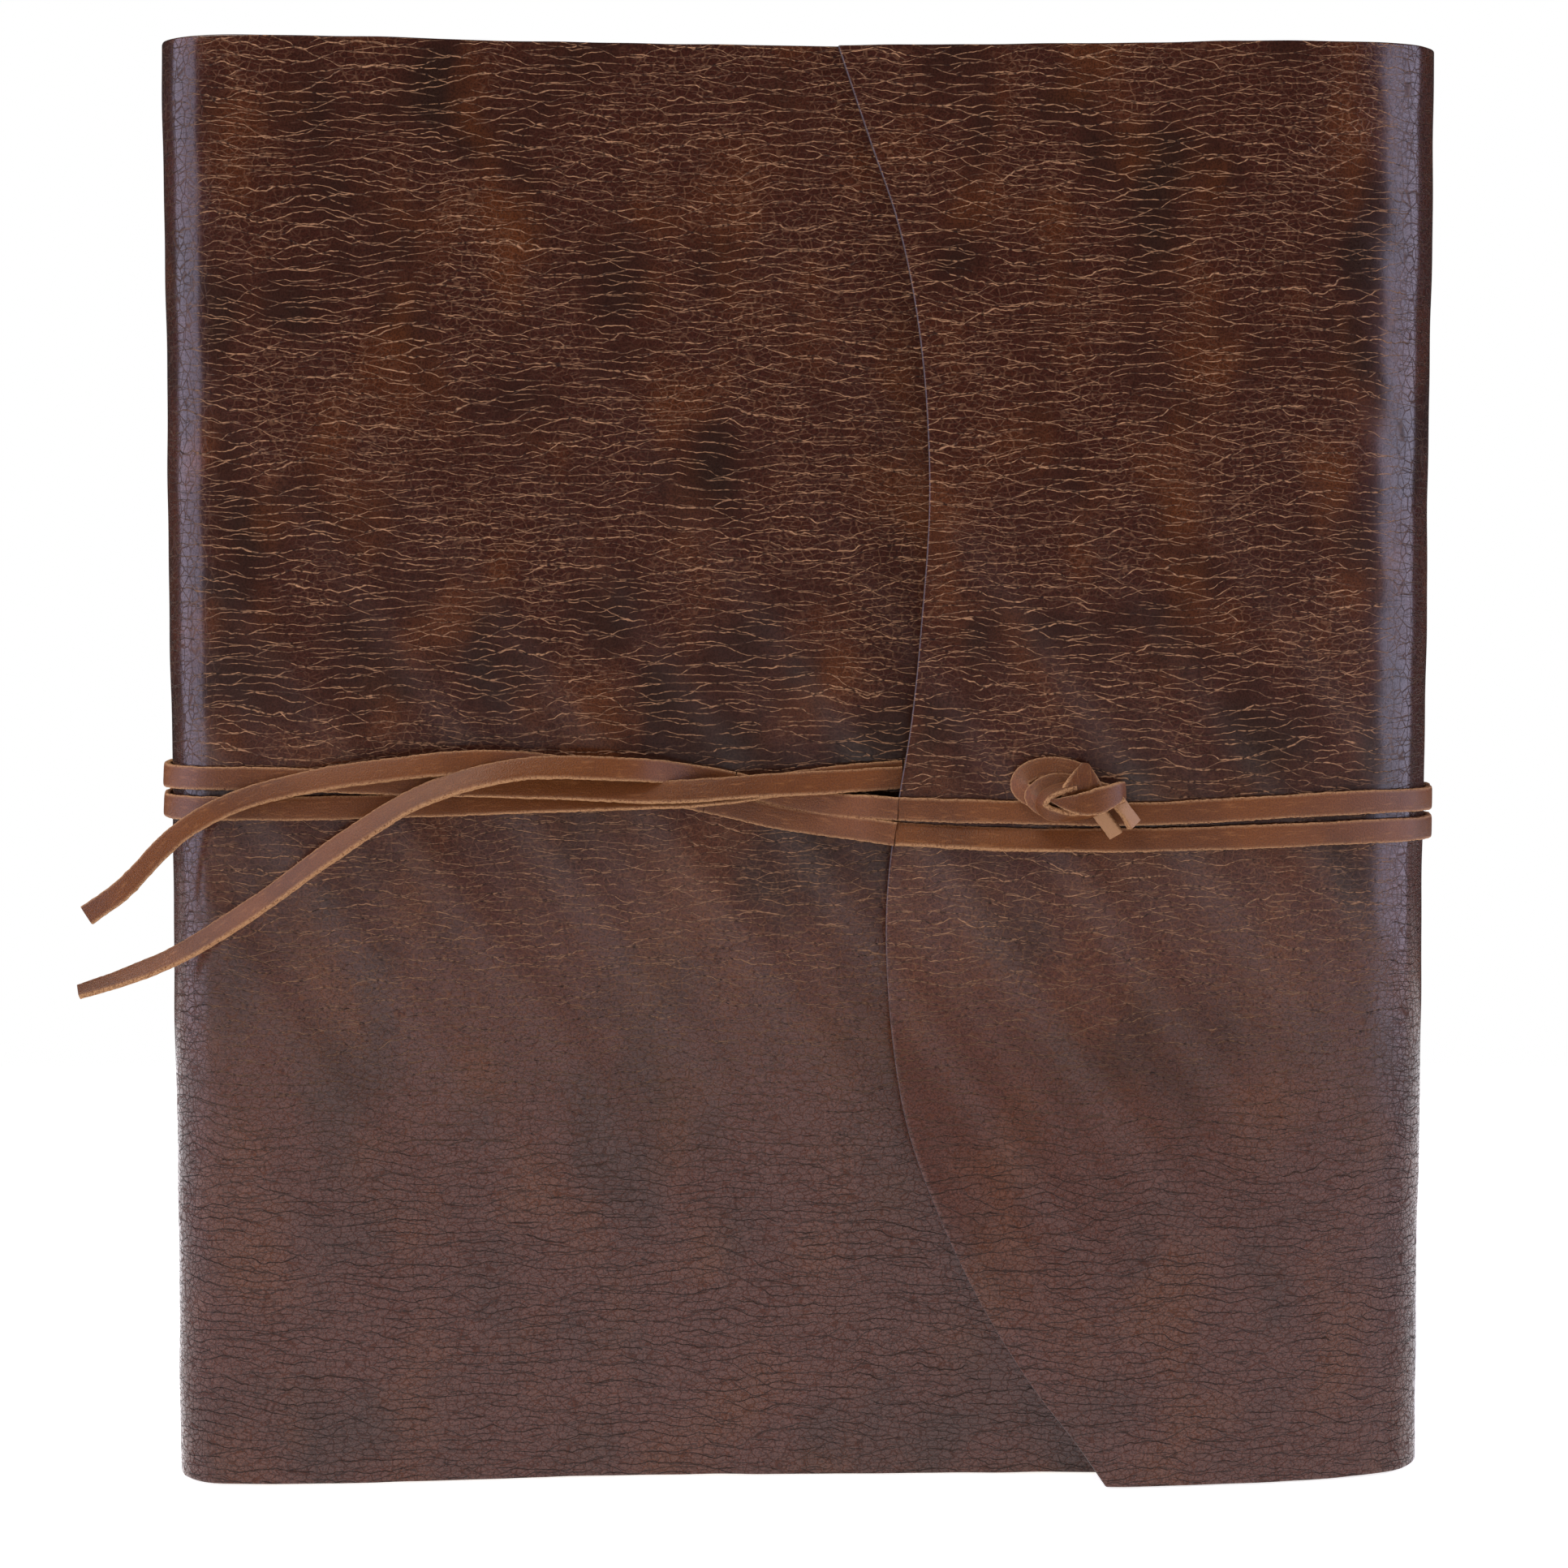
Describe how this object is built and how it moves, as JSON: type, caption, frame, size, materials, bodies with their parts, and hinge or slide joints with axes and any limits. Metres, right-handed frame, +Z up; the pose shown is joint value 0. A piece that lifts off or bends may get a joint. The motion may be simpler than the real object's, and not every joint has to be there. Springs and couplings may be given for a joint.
{
  "type": "leather wrap album",
  "caption": "Thick leather-wrapped album standing closed; the wrap ends in an S-curved flap over the front, held by two flat laces knotted through the flap.",
  "frame": {"origin": "centre of the standing footprint of the closed book, on the surface it stands on; the free lace tails are left out", "axes": "+X to the right as seen from the front, from spine to fore edge; +Y from the front to the back; +Z up along the spine"},
  "size_m": [0.3219, 0.0644, 0.34],
  "materials": {
    "cover_leather": "satin, mottled dark red-brown, fine pebble grain with long crease lines",
    "lace_leather": "matt, mid brown with pale raw edges",
    "paper": "matt, cream",
    "endpaper": "matt, buff",
    "mull": "open plain weave",
    "tape": "linen tape",
    "thread": "waxed linen thread"
  },
  "bodies": {
    "base": {"cover_back": "cover_leather", "cover_spine": "cover_leather", "section_01": "paper", "section_02": "paper", "section_03": "paper", "section_04": "paper", "section_05": "paper", "section_06": "paper", "section_07": "paper", "section_08": "paper", "section_09": "paper", "section_10": "paper", "endpaper_back": "endpaper", "spine_mull": "mull", "sewing_tape_1": "tape", "sewing_tape_2": "tape", "sewing_tape_3": "tape", "kettle_stitch_1": "thread", "kettle_stitch_2": "thread", "lace_upper_spine": "lace_leather", "lace_lower_spine": "lace_leather", "lace_upper_back": "lace_leather", "lace_lower_back": "lace_leather"},
    "front_cover": {"cover_front": "cover_leather", "endpaper_front": "endpaper", "lace_upper_front": "lace_leather", "lace_lower_front": "lace_leather", "lace_upper_tuck": "lace_leather", "lace_lower_tuck": "lace_leather", "lace_upper_tail": "lace_leather", "lace_lower_tail": "lace_leather"},
    "fore_edge": {"cover_fore_edge": "cover_leather", "lace_upper_fore_edge": "lace_leather", "lace_lower_fore_edge": "lace_leather"},
    "flap": {"cover_flap": "cover_leather", "lace_upper_under_flap": "lace_leather", "lace_lower_under_flap": "lace_leather", "lace_upper_over_flap": "lace_leather", "lace_lower_over_flap": "lace_leather", "lace_upper_end": "lace_leather", "lace_lower_end": "lace_leather", "lace_knot": "lace_leather"}
  },
  "joints": [
    {"name": "fore_edge_swing", "type": "hinge", "parent": "base", "child": "fore_edge", "pos_m": [0.11834, 0.02974, 0], "axis": [0, 0, 1], "range_deg": [0, 180]},
    {"name": "flap_fold", "type": "hinge", "parent": "fore_edge", "child": "flap", "pos_m": [0.13166, -0.01935, 0], "axis": [0, 0, 1], "range_deg": [0, 180]},
    {"name": "front_cover_hinge", "type": "hinge", "parent": "base", "child": "front_cover", "pos_m": [-0.13013, -0.02584, 0], "axis": [0, 0, -1], "range_deg": [0, 170]}
  ],
  "couplings": [
    {"joint": "front_cover_hinge", "follows": "flap_fold", "ratio": 0.12}
  ]
}
